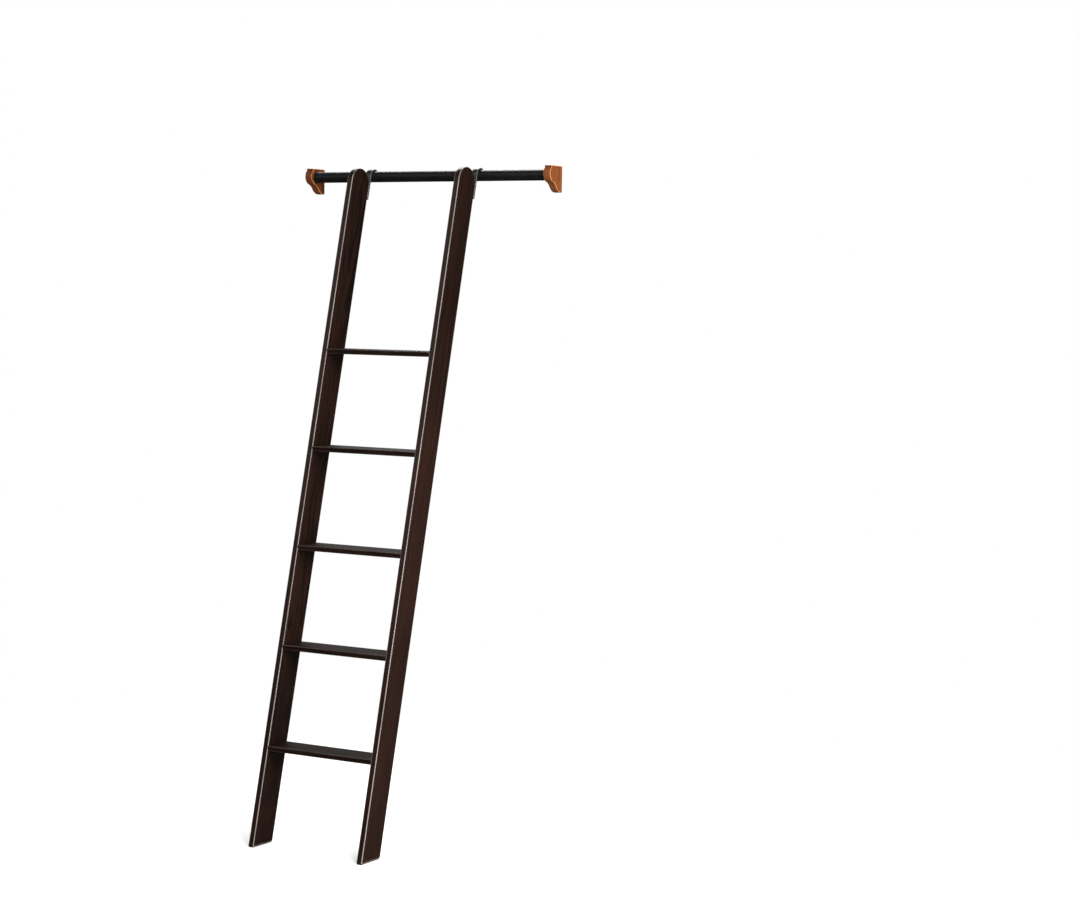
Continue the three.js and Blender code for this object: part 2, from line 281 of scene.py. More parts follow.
def skin(surface, rings, closed=False):
    """Joins rings of corners with faces. It caps the first and the last, or joins them where closed."""
    count = len(rings[0])
    pairs = list(zip(rings, rings[1:]))
    if closed:
        pairs.append((rings[-1], rings[0]))
    else:
        surface.faces.new(rings[0])
        surface.faces.new(rings[-1])
    for near, far in pairs:
        for i in range(count):
            j = (i + 1) % count
            surface.faces.new((near[i], near[j], far[j], far[i]))


def add_board(surface, outline, corner, low, high, edge, margin=WEAR_AND_HIGHLIGHT_MARGIN):
    """A board with its outline in the Y-Z plane, from x = low to x = high. Its sharp corners and its rims
    are rounded, and the rims carry the mask for rubbed wear and a painted highlight."""
    wear_and_highlight = surface.verts.layers.float["wear_and_highlight"]
    radii = corner_radii(outline, corner)
    # The rim mask marks where rubbed colour goes, which is also a painted highlight along the rounded
    # edges.
    rim = [(0, edge + margin, 0)]
    for step in range(EDGE_STEPS + 1):
        angle = QUARTER * step / EDGE_STEPS
        worn_and_highlight = RIM_WEAR_AND_HIGHLIGHT + (1 - RIM_WEAR_AND_HIGHLIGHT) * math.sin(2 * angle)
        rim.append((edge * (1 - math.cos(angle)), edge * (1 - math.sin(angle)), worn_and_highlight))
    rim.append((edge + margin, 0, 0))
    sections = [(low + depth, shrink, worn_and_highlight) for depth, shrink, worn_and_highlight in rim]
    sections += [(high - depth, shrink, worn_and_highlight) for depth, shrink, worn_and_highlight in reversed(rim)]
    rings = []
    for x, shrink, worn_and_highlight in sections:
        ring = [surface.verts.new((x, p.x, p.y)) for p in drawn_in(outline, radii, shrink)]
        for vert in ring:
            vert[wear_and_highlight] = worn_and_highlight
        rings.append(ring)
    skin(surface, rings)


def add_turned(surface, profile, segments, place, closed=False):
    """A solid turned about Z from (z, radius) points, or a ring where the profile closes on itself."""
    rings = []
    for z, radius in profile:
        ring = []
        for i in range(segments):
            angle = 2 * math.pi * i / segments
            reach = radius(angle) if callable(radius) else radius
            point = Vector((reach * math.cos(angle), reach * math.sin(angle), z))
            ring.append(surface.verts.new(place @ point))
        rings.append(ring)
    skin(surface, rings, closed)


def along_x(place):
    return place @ Matrix.Rotation(QUARTER, 4, "Y")


def along_minus_y(place):
    return place @ Matrix.Rotation(QUARTER, 4, "X")


def as_object(surface, name):
    bmesh.ops.recalc_face_normals(surface, faces=surface.faces)
    mesh = bpy.data.meshes.new(name)
    surface.to_mesh(mesh)
    surface.free()
    piece = bpy.data.objects.new(name, mesh)
    scene.collection.objects.link(piece)
    return piece


def carve(piece, cutter_surface):
    """Cuts closed shapes out of a piece."""
    cutter = as_object(cutter_surface, piece.name + "_cutter")
    modifier = piece.modifiers.new("cut", "BOOLEAN")
    modifier.operation = "DIFFERENCE"
    modifier.solver = "MANIFOLD"
    modifier.object = cutter
    depsgraph = bpy.context.evaluated_depsgraph_get()
    carved = bpy.data.meshes.new_from_object(piece.evaluated_get(depsgraph))
    piece.modifiers.clear()
    whole, piece.data = piece.data, carved
    for spent in (whole, cutter.data):
        bpy.data.meshes.remove(spent)


def set_grain(mesh, along, seed):
    """Keeps two places of each point for its material, with Z along the grain: its own place, shifted so
    that no two pieces match, and its place in the tree that a board was sawn from, from the pith."""
    order = {"x": (2, 1, 0), "z": (0, 1, 2)}[along]
    shift = Vector((0.37, 0.53, 1.71)) * seed
    distance = PITH_DISTANCE * (1 + PITH_DISTANCE_SPREAD * math.sin(2.4 * seed))
    offset = PITH_OFFSET * math.sin(1.7 * seed)
    pith = Vector((distance, offset, 0))
    grain = mesh.attributes.new("grain", "FLOAT_VECTOR", "POINT")
    tree = mesh.attributes.new("tree", "FLOAT_VECTOR", "POINT")
    for vert, in_grain, in_tree in zip(mesh.vertices, grain.data, tree.data):
        place = Vector(vert.co[axis] for axis in order)
        in_grain.vector = place + shift
        in_tree.vector = place + pith


seeds = iter(range(1, 100))


def finish_piece(piece, node, material, place, along="z", sharp=40):
    """Sets a piece in place of its CAD node, with its coordinates, shading, material and body."""
    set_grain(piece.data, along, next(seeds))
    piece.data.transform(place)
    piece.data.materials.clear()
    piece.data.materials.append(material)
    piece.data.shade_smooth()
    piece.data.set_sharp_from_angle(angle=math.radians(sharp))
    weighted = piece.modifiers.new("even_faces", "WEIGHTED_NORMAL")
    weighted.keep_sharp = True
    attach(piece, BODY_OF[node])
    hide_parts(node)
    return piece


# ---------------------------------------------------------------- material graphs


class Graph:
    """A material's node tree. Each call adds a node, whose inputs are values or other nodes' outputs."""

    def __init__(self, name):
        self.material = bpy.data.materials.new(name)
        self.material.use_nodes = True
        self.tree = self.material.node_tree
        self.tree.nodes.clear()

    def add(self, kind, inputs=None, **settings):
        node = self.tree.nodes.new("ShaderNode" + kind)
        for name, value in settings.items():
            setattr(node, name, value)
        for key, value in (inputs or {}).items():
            if isinstance(value, bpy.types.NodeSocket):
                self.tree.links.new(value, node.inputs[key])
            else:
                node.inputs[key].default_value = value
        return node

    def math(self, operation, first, second=0.0, clamp=False):
        node = self.add("Math", {0: first, 1: second}, operation=operation, use_clamp=clamp)
        return node.outputs[0]

    def total(self, *terms):
        """The sum of values, each alone or as (value, weight)."""
        weighted = [self.math("MULTIPLY", *term) if isinstance(term, tuple) else term for term in terms]
        result = weighted[0]
        for term in weighted[1:]:
            result = self.math("ADD", result, term)
        return result

    def stretched(self, vector, scale):
        """The place with its Z scaled: below 1, a pattern is drawn out along the grain."""
        return self.add("Mapping", {"Vector": vector, "Scale": (1, 1, scale)}).outputs[0]

    def noise(self, vector, scale, detail=4.0, roughness=0.55):
        """Smooth noise with about as many swells to a metre as its scale."""
        inputs = {"Vector": vector, "Scale": scale, "Detail": detail, "Roughness": roughness}
        return self.add("TexNoise", inputs).outputs["Fac"]

    def ramp(self, value, low, high, to_low=0.0, to_high=1.0):
        """Eases from one number to another while the value goes from low to high."""
        inputs = {0: value, 1: low, 2: high, 3: to_low, 4: to_high}
        return self.add("MapRange", inputs, interpolation_type="SMOOTHSTEP").outputs[0]

    def mix(self, share, first, second):
        node = self.add("Mix", {0: share}, data_type="RGBA")
        for index, value in ((6, first), (7, second)):
            if isinstance(value, bpy.types.NodeSocket):
                self.tree.links.new(value, node.inputs[index])
            else:
                node.inputs[index].default_value = (*value, 1)
        return node.outputs[2]

    def place(self, name):
        return self.add("Attribute", attribute_name=name).outputs["Vector"]

    def share(self, name):
        return self.add("Attribute", attribute_name=name).outputs["Fac"]

    def noise_along(self, value, scale, detail=2.0):
        inputs = {"W": value, "Scale": scale, "Detail": detail}
        return self.add("TexNoise", inputs, noise_dimensions="1D").outputs["Fac"]

    def bump(self, height, distance, strength):
        inputs = {"Height": height, "Distance": distance, "Strength": strength}
        return self.add("Bump", inputs).outputs[0]

    def surface(self, **inputs):
        named = {name.replace("_", " "): value for name, value in inputs.items()}
        shader = self.add("BsdfPrincipled", named)
        self.add("OutputMaterial", {"Surface": shader.outputs[0]})
        return self.material


PITH_BOW = 100 * MM  # how far the pith wanders sideways
RING_WOBBLE = 8 * MM
FIBRE_RELIEF = 0.06 * MM
PEEL_RELIEF = 0.03 * MM
TURNING_RELIEF = 0.02 * MM
PEBBLE_RELIEF = 0.08 * MM


def growth_rings(graph, grain, width):
    """Rings about a pith that wanders along the tree. Each darkens slowly outwards and ends at once, and
    their widths and strengths vary."""
    bow = graph.noise(graph.stretched(grain, 0.16), 9, detail=2)
    wobble = graph.noise(graph.stretched(grain, 0.15), 45, detail=3)
    split = graph.add("SeparateXYZ", {0: graph.place("tree")})
    through = graph.total(split.outputs["X"], (graph.math("SUBTRACT", bow, 0.5), PITH_BOW))
    squares = [graph.math("POWER", side, 2) for side in (through, split.outputs["Y"])]
    radius = graph.total(graph.math("SQRT", graph.total(*squares)), (wobble, RING_WOBBLE))
    uneven = graph.noise_along(radius, 0.45 / width)
    growth = graph.math("FRACT", graph.total(graph.math("DIVIDE", radius, width), (uneven, 1.6)))
    late = graph.math("SUBTRACT", graph.ramp(growth, 0.25, 0.9), graph.ramp(growth, 0.9, 1.0))
    strength = graph.ramp(graph.noise_along(radius, 0.8 / width), 0.35, 0.65, 0.25, 1.0)
    return graph.math("MULTIPLY", late, strength)


def wood(name, dark, light, worn_and_highlight, ring_width, ring_share, rough, polish, wear_and_highlight_share):
    """Sawn hardwood: warped growth rings, fine fibres and short pores along Z. Its edges are rubbed paler
    and polished by hands, and the paler edge colour is also a painted highlight along the rims."""
    graph = Graph(name)
    grain = graph.place("grain")
    drift = graph.noise(graph.stretched(grain, 0.5), 3, detail=2)
    rings = growth_rings(graph, grain, ring_width)
    fibre = graph.noise(graph.stretched(grain, 0.02), 620, detail=5, roughness=0.65)
    specks = graph.noise(graph.stretched(grain, 0.045), 1500, detail=2, roughness=0.5)
    pores = graph.ramp(specks, 0.62, 0.72)
    streaks = graph.noise(graph.stretched(grain, 0.06), 90, detail=3)

    tone = graph.total((fibre, 0.5), (streaks, 0.45), (drift, 0.6), (rings, -ring_share))
    colour = graph.mix(graph.ramp(tone, 0.4, 1.0), dark, light)
    colour = graph.mix(graph.math("MULTIPLY", pores, 0.55), colour, [c * 0.45 for c in dark])

    # Paler colour along the rims: rubbed wear, and in part a painted highlight where the rounded edges
    # catch the light.
    edge = graph.share("wear_and_highlight")
    rub_and_highlight = graph.noise(graph.stretched(grain, 0.12), 60, detail=4, roughness=0.6)
    rub_and_highlight = graph.math("MULTIPLY", edge, graph.ramp(rub_and_highlight, 0.3, 0.62, 0.55, 1.0))
    rub_and_highlight = graph.math("MULTIPLY", rub_and_highlight, wear_and_highlight_share, clamp=True)
    colour = graph.mix(rub_and_highlight, colour, worn_and_highlight)

    handled = graph.noise(grain, 14, detail=3)
    relief = graph.total((fibre, 0.5), (pores, -1.0), (rings, 0.3))
    return graph.surface(
        Base_Color=colour,
        Roughness=graph.total((fibre, 0.16), (handled, 0.14), (pores, 0.12), (edge, -0.1), rough - 0.15),
        Specular_IOR_Level=polish,
        Normal=graph.bump(relief, FIBRE_RELIEF, 0.5),
    )


def painted_steel(name, paint, bare_and_highlight, rough, polish, wear_and_highlight_share):
    """Satin paint over steel, with a faint orange-peel texture, rubbed to bare metal along its edges; the
    bare, paler edges are also in part a painted highlight.
    """
    graph = Graph(name)
    grain = graph.place("grain")
    peel = graph.noise(grain, 900, detail=2)
    speckle = graph.noise(grain, 4000, detail=2)
    cloud = graph.noise(grain, 35, detail=4, roughness=0.6)
    shade = graph.total((cloud, 0.7), (speckle, 0.3))
    colour = graph.mix(graph.ramp(shade, 0.35, 0.7), [c * 0.8 for c in paint], [c * 1.25 for c in paint])

    # Bare steel along the rubbed edges, paler than the paint: real wear, and in part a painted highlight on
    # the edges.
    scuffs = graph.noise(grain, 180, detail=3, roughness=0.5)
    bared_and_highlight = graph.math("MULTIPLY", graph.share("wear_and_highlight"), graph.ramp(scuffs, 0.3, 0.6, 0.6, 1.0))
    bared_and_highlight = graph.math("MULTIPLY", bared_and_highlight, wear_and_highlight_share, clamp=True)
    colour = graph.mix(bared_and_highlight, colour, bare_and_highlight)

    lines = graph.noise(graph.stretched(grain, 0.012), 800, detail=3)
    scratches = graph.ramp(lines, 0.5, 0.7)
    relief = graph.total((peel, 0.7), (speckle, 0.3), (bared_and_highlight, -0.6))
    return graph.surface(
        Base_Color=colour,
        Metallic=graph.ramp(bared_and_highlight, 0.35, 0.75),
        Roughness=graph.total((cloud, 0.16), (speckle, 0.08), (scratches, 0.1), rough - 0.14),
        Specular_IOR_Level=polish,
        Normal=graph.bump(relief, PEEL_RELIEF, 0.6),
    )


def screw_steel():
    """Zinc-plated steel, turned, with fine rings about the screw's axis."""
    graph = Graph("screw_steel")
    grain = graph.place("grain")
    lines = graph.noise(graph.stretched(grain, 30), 600, detail=3)
    stain = graph.noise(grain, 700, detail=4, roughness=0.6)
    colour = graph.mix(graph.ramp(stain, 0.35, 0.65), (0.2, 0.19, 0.18), (0.42, 0.41, 0.39))
    return graph.surface(
        Base_Color=colour,
        Metallic=1.0,
        Roughness=graph.total((lines, 0.2), 0.22),
        Normal=graph.bump(lines, TURNING_RELIEF, 0.5),
    )


def pad_rubber():
    """Dull black rubber with a fine moulded grain and a little dust."""
    graph = Graph("pad_rubber")
    grain = graph.place("grain")
    pebble = graph.add("TexVoronoi", {"Vector": grain, "Scale": 1400.0}).outputs["Distance"]
    dust = graph.noise(grain, 120, detail=5, roughness=0.65)
    colour = graph.mix(graph.ramp(dust, 0.45, 0.75), (0.008, 0.008, 0.008), (0.03, 0.028, 0.026))
    return graph.surface(
        Base_Color=colour,
        Roughness=graph.total((dust, 0.2), 0.68),
        Normal=graph.bump(pebble, PEBBLE_RELIEF, 0.6),
    )


def floor_paper(fade_from, fade_to):
    """A plain pale floor that melts into the background with its distance from the object."""
    graph = Graph("floor_paper")
    place = graph.add("TexCoord").outputs["Object"]
    fleck = graph.noise(place, 40, detail=4)
    colour = graph.mix(fleck, (0.86, 0.86, 0.86), (0.9, 0.9, 0.895))
    shader = graph.add("BsdfPrincipled", {"Base Color": colour, "Roughness": 0.9})
    distance = graph.add("VectorMath", {0: place}, operation="LENGTH").outputs["Value"]
    clear = graph.add("BsdfTransparent").outputs[0]
    share = graph.ramp(distance, fade_from, fade_to)
    mixed = graph.add("MixShader", {0: share, 1: shader.outputs[0], 2: clear})
    graph.add("OutputMaterial", {"Surface": mixed.outputs[0]})
    return graph.material


MATERIALS = {
    "stained": wood(
        "ladder_wood",
        dark=(0.0034, 0.0013, 0.0007),
        light=(0.0150, 0.0056, 0.0033),
        # a pale neutral grey on the rubbed rims: mostly a painted highlight along the edges, partly rubbed
        # wood
        worn_and_highlight=(0.29, 0.25, 0.23),
        ring_width=8 * MM,
        ring_share=0.3,
        rough=0.36,
        polish=0.2,
        wear_and_highlight_share=0.7,
    ),
    "cherry": wood(
        "bracket_wood",
        dark=(0.066, 0.0145, 0.0031),
        light=(0.162, 0.0465, 0.0105),
        # rubbed rims, paler and brighter: partly wear, partly a painted highlight along the edges
        worn_and_highlight=(0.52, 0.235, 0.085),
        ring_width=3.4 * MM,
        ring_share=0.3,
        rough=0.44,
        polish=0.25,
        wear_and_highlight_share=0.7,
    ),
    "beech": wood(
        "dowel_wood",
        dark=(0.42, 0.27, 0.15),
        light=(0.68, 0.49, 0.31),
        worn_and_highlight=(0.7, 0.52, 0.34),
        ring_width=2.5 * MM,
        ring_share=0.3,
        rough=0.7,
        polish=0.3,
        wear_and_highlight_share=0.2,
    ),
    "hook": painted_steel(
        "hook_steel",
        paint=(0.0075, 0.0075, 0.0075),
        # bare steel on the rubbed edges, made pale to serve in part as a painted highlight along the strap
        bare_and_highlight=(0.16, 0.158, 0.154),
        rough=0.4,
        polish=0.7,
        wear_and_highlight_share=0.5,
    ),
    "rail": painted_steel(
        "rail_steel",
        paint=(0.0045, 0.0045, 0.0044),
        bare_and_highlight=(0.2, 0.2, 0.2),
        rough=0.42,
        polish=0.22,
        wear_and_highlight_share=0.5,
    ),
    "screw": screw_steel(),
    "rubber": pad_rubber(),
}

# ---------------------------------------------------------------- the ladder's pieces


def dowel_nodes(tread, side):
    return [f"{tread}_dowel_{side}_{place}" for place in ("front", "rear")]


def cut_dowel_holes(cutters, tread, side, to_local):
    """Adds the holes for a tread's two dowels at one side."""
    radius = DOWEL_RADIUS + DOWEL_PLAY
    for node in dowel_nodes(tread, side):
        half = size(node).x / 2 + GAP
        place = to_local @ Matrix.Translation(middle(node))
        add_turned(cutters, [(-half, radius), (half, radius)], DOWEL_FLUTES * 2, along_x(place))


def screw_hole(surface, drop):
    """Adds the countersunk hole for one of a hook's screws, open at its head."""
    head = SCREW_HEAD_RADIUS + SCREW_PLAY
    shank = SCREW_THREAD_RADIUS + SCREW_PLAY
    profile = [
        (-CUT_PAST, head),
        (SCREW_HEAD_RIM, head),
        (SCREW_HEAD_RIM + head - shank, shank),
        (SCREW_LENGTH - SCREW_POINT, shank),
        (SCREW_LENGTH + SCREW_PLAY, shank / 2),
    ]
    place = Matrix.Translation((0, -HOOK_INNER, -drop))
    add_turned(surface, profile, SCREW_SEGMENTS, along_minus_y(place))


def make_stile(side):
    node = f"{side}_stile"
    foot_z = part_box(node)[0].z - AXIS_Z
    level = [(y, (foot_z + y * math.sin(LEAN)) / math.cos(LEAN)) for y in (STILE_FRONT, STILE_REAR)]
    feet = [Vector(point) for point in level]
    top = arc((STILE_MIDDLE, -STILE_TOP_DROP), STILE_DEPTH / 2, 0, math.pi, STILE_TOP_STEPS)
    surface = new_surface()
    half = size(node).x / 2
    add_board(surface, feet + top, FOOT_CORNER, -half, half, STILE_EDGE)
    spare_round_top_wear_and_highlight(surface)
    piece = as_object(surface, node + "_board")

    place = on_axis(node, LEANING)
    cutters = new_surface()
    for tread in TREADS:
        cut_dowel_holes(cutters, tread, side, place.inverted())
    for drop in SCREW_DROPS.values():
        screw_hole(cutters, drop)
    carve(piece, cutters)
    return finish_piece(piece, node, MATERIALS["stained"], place)


def spare_round_top_wear_and_highlight(surface):
    """Hands rub a stile's long edges, and hardly its round top, and the painted highlight on the rims is
    kept off the top, so that it stays dark as an unlit surface.
    """
    wear_and_highlight = surface.verts.layers.float["wear_and_highlight"]
    for vert in surface.verts:
        rise = (vert.co.z + STILE_TOP_DROP) / (STILE_DEPTH / 2)
        on_top = min(max((rise - SPARED_FROM) / SPARED_OVER, 0), 1)
        vert[wear_and_highlight] *= 1 - STILE_TOP_SPARED * on_top


def make_tread(tread):
    half = size(tread) / 2
    surface = new_surface()
    add_board(surface, rectangle(half.y, half.z), TREAD_EDGE, -half.x, half.x, TREAD_END_EDGE)
    rubbed_and_highlit_long_edges(surface, half)
    piece = as_object(surface, tread + "_board")
    place = Matrix.Translation(middle(tread))
    cutters = new_surface()
    for side in SIDES:
        cut_dowel_holes(cutters, tread, side, place.inverted())
    carve(piece, cutters)
    return finish_piece(piece, tread, MATERIALS["stained"], place, along="x")


def rubbed_and_highlit_long_edges(surface, half):
    """Feet rub a tread's long edges, most at the front of its upper face, and not its ends; the paler
    colour there is also a soft painted highlight.
    """
    wear_and_highlight = surface.verts.layers.float["wear_and_highlight"]
    reach = TREAD_EDGE * 0.9
    for vert in surface.verts:
        at_edge = half.y - abs(vert.co.y) < reach and half.z - abs(vert.co.z) < reach
        at_front = vert.co.z > 0 and vert.co.y < 0
        vert[wear_and_highlight] = (TREAD_FRONT_WEAR_AND_HIGHLIGHT if at_front else TREAD_EDGE_WEAR_AND_HIGHLIGHT) if at_edge else 0


def make_dowel(node):
    def fluted(angle):
        return DOWEL_RADIUS - DOWEL_FLUTE_DEPTH * (0.5 - 0.5 * math.cos(DOWEL_FLUTES * angle))

    half = size(node).x / 2
    narrow = DOWEL_RADIUS - DOWEL_CHAMFER
    profile = [
        (-half, narrow),
        (-half + DOWEL_CHAMFER, fluted),
        (half - DOWEL_CHAMFER, fluted),
        (half, narrow),
    ]
    surface = new_surface()
    add_turned(surface, profile, DOWEL_FLUTES * 4, along_x(Matrix.Identity(4)))
    piece = as_object(surface, node + "_fluted")
    place = Matrix.Translation(middle(node))
    return finish_piece(piece, node, MATERIALS["beech"], place, along="x")


def make_hook(side):
    node = f"{side}_hook"
    outline = arc((0, 0), HOOK_OUTER, 0, math.pi, HOOK_STEPS)
    outline += [Vector((-HOOK_OUTER, -HOOK_LEG)), Vector((-HOOK_INNER, -HOOK_LEG))]
    outline += arc((0, 0), HOOK_INNER, math.pi, 0, HOOK_STEPS)
    outline += [Vector((HOOK_INNER, -HOOK_TAIL)), Vector((HOOK_OUTER, -HOOK_TAIL))]
    surface = new_surface()
    half = size(node).x / 2
    add_board(surface, outline, HOOK_CORNER, -half, half, HOOK_EDGE, HOOK_WEAR_AND_HIGHLIGHT_MARGIN)
    piece = as_object(surface, node + "_strap")
    cutters = new_surface()
    for drop in SCREW_DROPS.values():
        screw_hole(cutters, drop)
    carve(piece, cutters)
    return finish_piece(piece, node, MATERIALS["hook"], on_axis(node, LEANING))


def threaded(z):
    """The screw's radius round its threaded stretch, at a depth below its head."""
    narrowing = max(0.0, (z - SCREW_LENGTH + SCREW_POINT) / SCREW_POINT)
    rising = min(1.0, (z - SCREW_NECK) / SCREW_PITCH)

    def radius(angle):
        phase = (z / SCREW_PITCH - angle / (2 * math.pi)) % 1
        ridge = max(0.0, 1 - abs(phase - 0.5) * SCREW_CREST)
        crest = (SCREW_THREAD_RADIUS - SCREW_CORE_RADIUS) * ridge * rising
        return (SCREW_CORE_RADIUS + crest) * (1 - SCREW_POINT_TAPER * narrowing)

    return radius


def cross_recess():
    """The driver's recess: two bars across each other, which taper with their depth."""
    top, bottom = RECESS_LENGTH / 2, RECESS_LENGTH / 2 * RECESS_TAPER
    sides = [(-top, -RECESS_RISE), (top, -RECESS_RISE), (bottom, RECESS_DEPTH), (-bottom, RECESS_DEPTH)]
    outline = [Vector(point) for point in sides]
    half = RECESS_WIDTH / 2
    recess = new_surface()
    for turn in (0, QUARTER):
        bar = new_surface()
        add_board(bar, outline, RECESS_EDGE, -half, half, RECESS_EDGE, RECESS_MARGIN)
        bar.transform(Matrix.Rotation(turn, 4, "Z"))
        copy = bpy.data.meshes.new("bar")
        bar.to_mesh(copy)
        bar.free()
        recess.from_mesh(copy)
        bpy.data.meshes.remove(copy)
    return recess


def make_screw(side, level, drop):
    node = f"{side}_hook_screw_{level}"
    # The head's rim is rounded and lies just below the strap's face. The neck is plain.
    profile = [
        (0.12 * MM, SCREW_HEAD_RADIUS - 0.5 * MM),
        (0.2 * MM, SCREW_HEAD_RADIUS - 0.15 * MM),
        (0.45 * MM, SCREW_HEAD_RADIUS - 0.05 * MM),
        (0.45 * MM + SCREW_HEAD_RADIUS - SCREW_NECK_RADIUS, SCREW_NECK_RADIUS),
        (SCREW_NECK - 0.5 * MM, SCREW_NECK_RADIUS),
    ]
    thread_length = SCREW_LENGTH - SCREW_NECK
    rows = int(thread_length / SCREW_PITCH * SCREW_ROWS_PER_TURN)
    for row in range(rows + 1):
        z = SCREW_NECK + thread_length * row / rows
        profile.append((z, threaded(z)))
    surface = new_surface()
    add_turned(surface, profile, SCREW_SEGMENTS, Matrix.Identity(4))
    piece = as_object(surface, node + "_threaded")
    carve(piece, cross_recess())
    place = along_minus_y(on_axis(node, LEANING) @ Matrix.Translation((0, -HOOK_INNER, -drop)))
    return finish_piece(piece, node, MATERIALS["screw"], place, sharp=SCREW_SHARP)


def make_pad(side):
    node = f"{side}_foot_pad"
    low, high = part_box(node)
    half = size(node) / 2
    surface = new_surface()
    add_board(surface, rectangle(half.y, half.x), PAD_CORNER, low.z, high.z, PAD_EDGE, PAD_MARGIN)
    piece = as_object(surface, node + "_sheet")
    centre = middle(node)
    # The board stands on its edge: turn its X up, its Y to the back and its Z across.
    lying = Matrix(((0, 0, -1, centre.x), (0, 1, 0, centre.y), (1, 0, 0, 0), (0, 0, 0, 1)))
    return finish_piece(piece, node, MATERIALS["rubber"], lying)


# ---------------------------------------------------------------- the rail's pieces


def make_rail():
    low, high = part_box("rail")
    inner = RAIL_RADIUS - RAIL_WALL
    edge = RAIL_END_EDGE
    profile = [
        (low.x, inner + edge),
        (low.x, RAIL_RADIUS - edge),
        (low.x + edge, RAIL_RADIUS),
        (high.x - edge, RAIL_RADIUS),
        (high.x, RAIL_RADIUS - edge),
        (high.x, inner + edge),
        (high.x - edge, inner),
        (low.x + edge, inner),
    ]
    surface = new_surface()
    add_turned(surface, profile, RAIL_SEGMENTS, along_x(Matrix.Identity(4)), closed=True)
    piece = as_object(surface, "rail_tube")
    return finish_piece(piece, "rail", MATERIALS["rail"], UPRIGHT, along="x")


def bracket_outline():
    """A square cap, a round nose about the rail, and an ogee underside down to the foot at the bookcase."""
    nose_centre = Vector((-NOSE_FORWARD, NOSE_LIFT))
    top = NOSE_LIFT + NOSE_RADIUS
    cap_under = top - CAP_THICKNESS
    nose_start = math.pi - math.asin((cap_under - CAP_QUIRK - NOSE_LIFT) / NOSE_RADIUS)
    nose = arc(nose_centre, NOSE_RADIUS, nose_start, NOSE_END, NOSE_STEPS)

    cove_centre = nose_centre + towards(NOSE_END, NOSE_RADIUS + COVE_RADIUS)
    cove_start = NOSE_END - math.pi
    cove_end = cove_start - COVE_TURN
    cove = arc(cove_centre, COVE_RADIUS, cove_start, cove_end, COVE_STEPS)

    foot_start = cove_end + math.pi
    foot_radius = (BRACKET_FOOT_DROP + cove[-1].y) / (1 + math.sin(foot_start))
    foot_centre = cove[-1] - towards(foot_start, foot_radius)
    foot = arc(foot_centre, foot_radius, foot_start, 3 * QUARTER, FOOT_STEPS)

    cap = [(BRACKET_BACK, top), (-CAP_FRONT, top), (-CAP_FRONT, cap_under), (nose[0].x, cap_under)]
    back_foot = Vector((BRACKET_BACK, -BRACKET_FOOT_DROP))
    return [*map(Vector, cap), *nose, *cove[1:], *foot[1:], back_foot]


def make_bracket(side):
    node = f"{side}_bracket"
    half = size(node).x / 2
    surface = new_surface()
    outline = bracket_outline()
    add_board(surface, outline, BRACKET_EDGE, -half, half, BRACKET_EDGE, BRACKET_WEAR_AND_HIGHLIGHT_MARGIN)
    piece = as_object(surface, node + "_scroll")

    inwards = -SIDES[side]
    cutters = new_surface()
    ends = sorted((inwards * (half + CUT_PAST), inwards * (half - SOCKET_DEPTH)))
    socket = [(end, RAIL_RADIUS + SOCKET_PLAY) for end in ends]
    add_turned(cutters, socket, RAIL_SEGMENTS, along_x(Matrix.Identity(4)))
    pilot = [(0, PILOT_RADIUS), (PILOT_DEPTH + CUT_PAST, PILOT_RADIUS)]
    for level in PILOT_HEIGHTS:
        place = Matrix.Translation((0, BRACKET_BACK + CUT_PAST, level))
        add_turned(cutters, pilot, PILOT_SEGMENTS, along_minus_y(place))
    carve(piece, cutters)
    return finish_piece(piece, node, MATERIALS["cherry"], on_axis(node, UPRIGHT))


for side in SIDES:
    make_stile(side)
    make_hook(side)
    make_pad(side)
    make_bracket(side)
    for level, drop in SCREW_DROPS.items():
        make_screw(side, level, drop)
for tread in TREADS:
    make_tread(tread)
    for side in SIDES:
        for node in dowel_nodes(tread, side):
            make_dowel(node)
make_rail()

# ---------------------------------------------------------------- floor, light and camera

FLOOR_RADIUS = 30.0
FLOOR_FADE = (0.9, 2.4)  # metres from the object, where the floor starts to melt away and where it is gone
FLOOR_GAP = 0.2 * MM
FLOOR_SEGMENTS = 96
CAMERA_LENS = 79.91
CAMERA_SENSOR = 36
CAMERA_PLACE = (4.1812, -6.1553, 1.6922)
CAMERA_TURNS = (30.246, -3.611, 1.017)  # yaw, pitch and roll, in degrees


def make_floor():
    surface = bmesh.new()
    bmesh.ops.create_circle(surface, cap_ends=True, radius=FLOOR_RADIUS, segments=FLOOR_SEGMENTS)
    mesh = bpy.data.meshes.new("studio_floor")
    surface.to_mesh(mesh)
    surface.free()
    mesh.materials.append(floor_paper(*FLOOR_FADE))
    floor = bpy.data.objects.new("studio_floor", mesh)
    floor.location.z = cad_box[0].z - FLOOR_GAP
    floor.visible_glossy = False
    scene.collection.objects.link(floor)


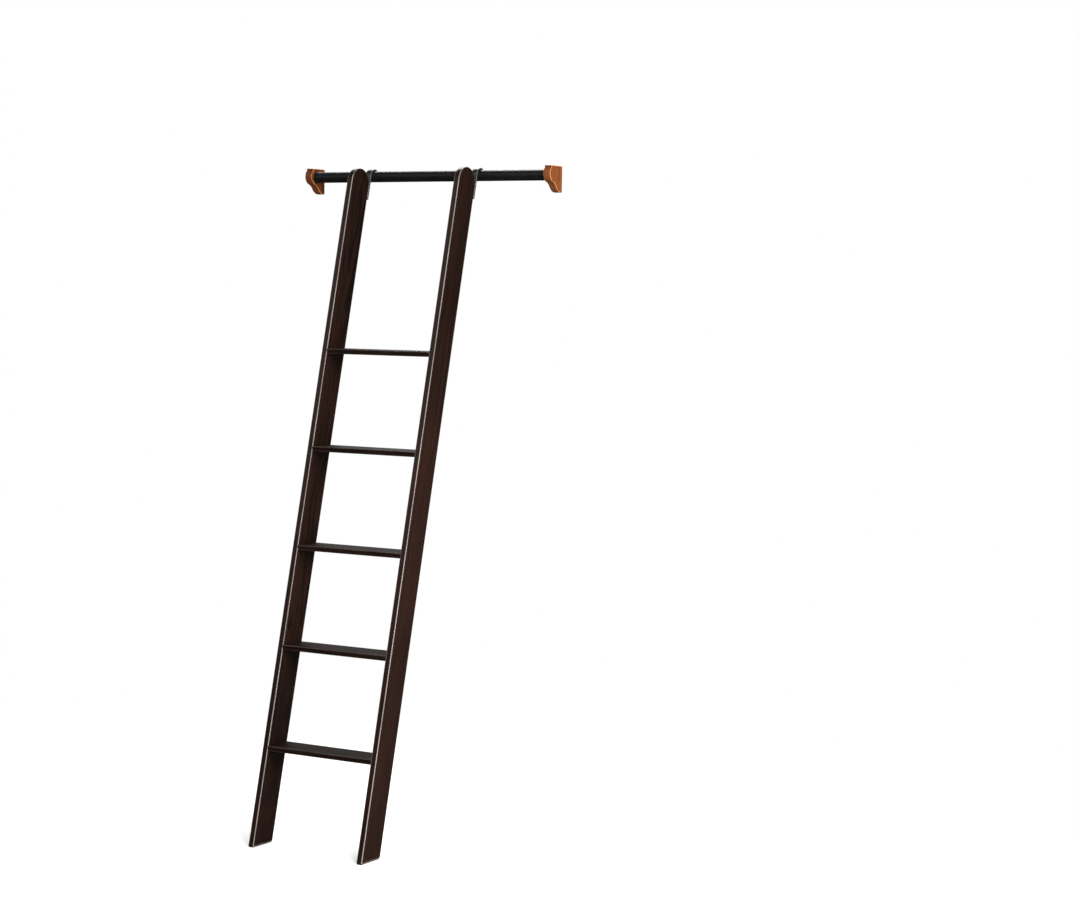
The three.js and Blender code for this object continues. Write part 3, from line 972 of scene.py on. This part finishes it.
def make_world(seen, lighting, mirrored):
    """The camera sees a white background, the surfaces get soft light, and gloss mirrors a dim room."""
    world = bpy.data.worlds.new("studio")
    scene.world = world
    world.use_nodes = True
    tree = world.node_tree
    tree.nodes.clear()
    path = tree.nodes.new("ShaderNodeLightPath")
    shaders = []
    for strength in (lighting, mirrored, seen):
        background = tree.nodes.new("ShaderNodeBackground")
        background.inputs["Color"].default_value = (1, 1, 1, 1)
        background.inputs["Strength"].default_value = strength
        shaders.append(background.outputs[0])
    for ray, index in (("Is Glossy Ray", 1), ("Is Camera Ray", 2)):
        mix = tree.nodes.new("ShaderNodeMixShader")
        tree.links.new(path.outputs[ray], mix.inputs[0])
        tree.links.new(shaders[0], mix.inputs[1])
        tree.links.new(shaders[index], mix.inputs[2])
        shaders[0] = mix.outputs[0]
    output = tree.nodes.new("ShaderNodeOutputWorld")
    tree.links.new(shaders[0], output.inputs["Surface"])


def make_panel(name, azimuth, elevation, distance, size, power, aim=0.5, spread=180):
    """A soft square light that faces the ladder at a share of its height. Azimuth 0 is in front, 90 on
    the right. A smaller spread keeps its light to a narrower beam."""
    light = bpy.data.lights.new(name, "AREA")
    light.shape = "SQUARE"
    light.size = size
    light.energy = power
    light.spread = math.radians(spread)
    panel = bpy.data.objects.new(name, light)
    turn, rise = math.radians(azimuth), math.radians(elevation)
    away = Vector((math.sin(turn) * math.cos(rise), -math.cos(turn) * math.cos(rise), math.sin(rise)))
    low, high = cad_box
    target = Vector(((low.x + high.x) / 2, (low.y + high.y) / 2, low.z + (high.z - low.z) * aim))
    panel.location = target + away * distance
    panel.rotation_euler = (-away).to_track_quat("-Z", "Y").to_euler()
    scene.collection.objects.link(panel)


def make_camera():
    """Eye height, in front and to the right, looking slightly down, with a long lens."""
    data = bpy.data.cameras.new("camera")
    data.sensor_width = CAMERA_SENSOR
    data.lens = CAMERA_LENS
    camera = bpy.data.objects.new("camera", data)
    yaw, pitch, roll = (math.radians(angle) for angle in CAMERA_TURNS)
    turn = Matrix.Rotation(yaw, 4, "Z") @ Matrix.Rotation(QUARTER + pitch, 4, "X")
    turn = turn @ Matrix.Rotation(roll, 4, "Z")
    camera.matrix_world = Matrix.Translation(CAMERA_PLACE) @ turn
    scene.collection.objects.link(camera)
    scene.camera = camera


make_floor()
make_world(seen=1.0, lighting=0.55, mirrored=0.06)
make_panel("key_light", azimuth=60, elevation=26, distance=4.2, size=2.4, power=330)
make_panel("side_light", azimuth=84, elevation=2, distance=3.6, size=1.4, power=26, aim=0.25, spread=70)
make_panel("fill_light", azimuth=-35, elevation=30, distance=5, size=3, power=30)
make_panel("back_light", azimuth=205, elevation=52, distance=4.6, size=2.4, power=170)
make_camera()
scene.view_settings.view_transform = "Standard"
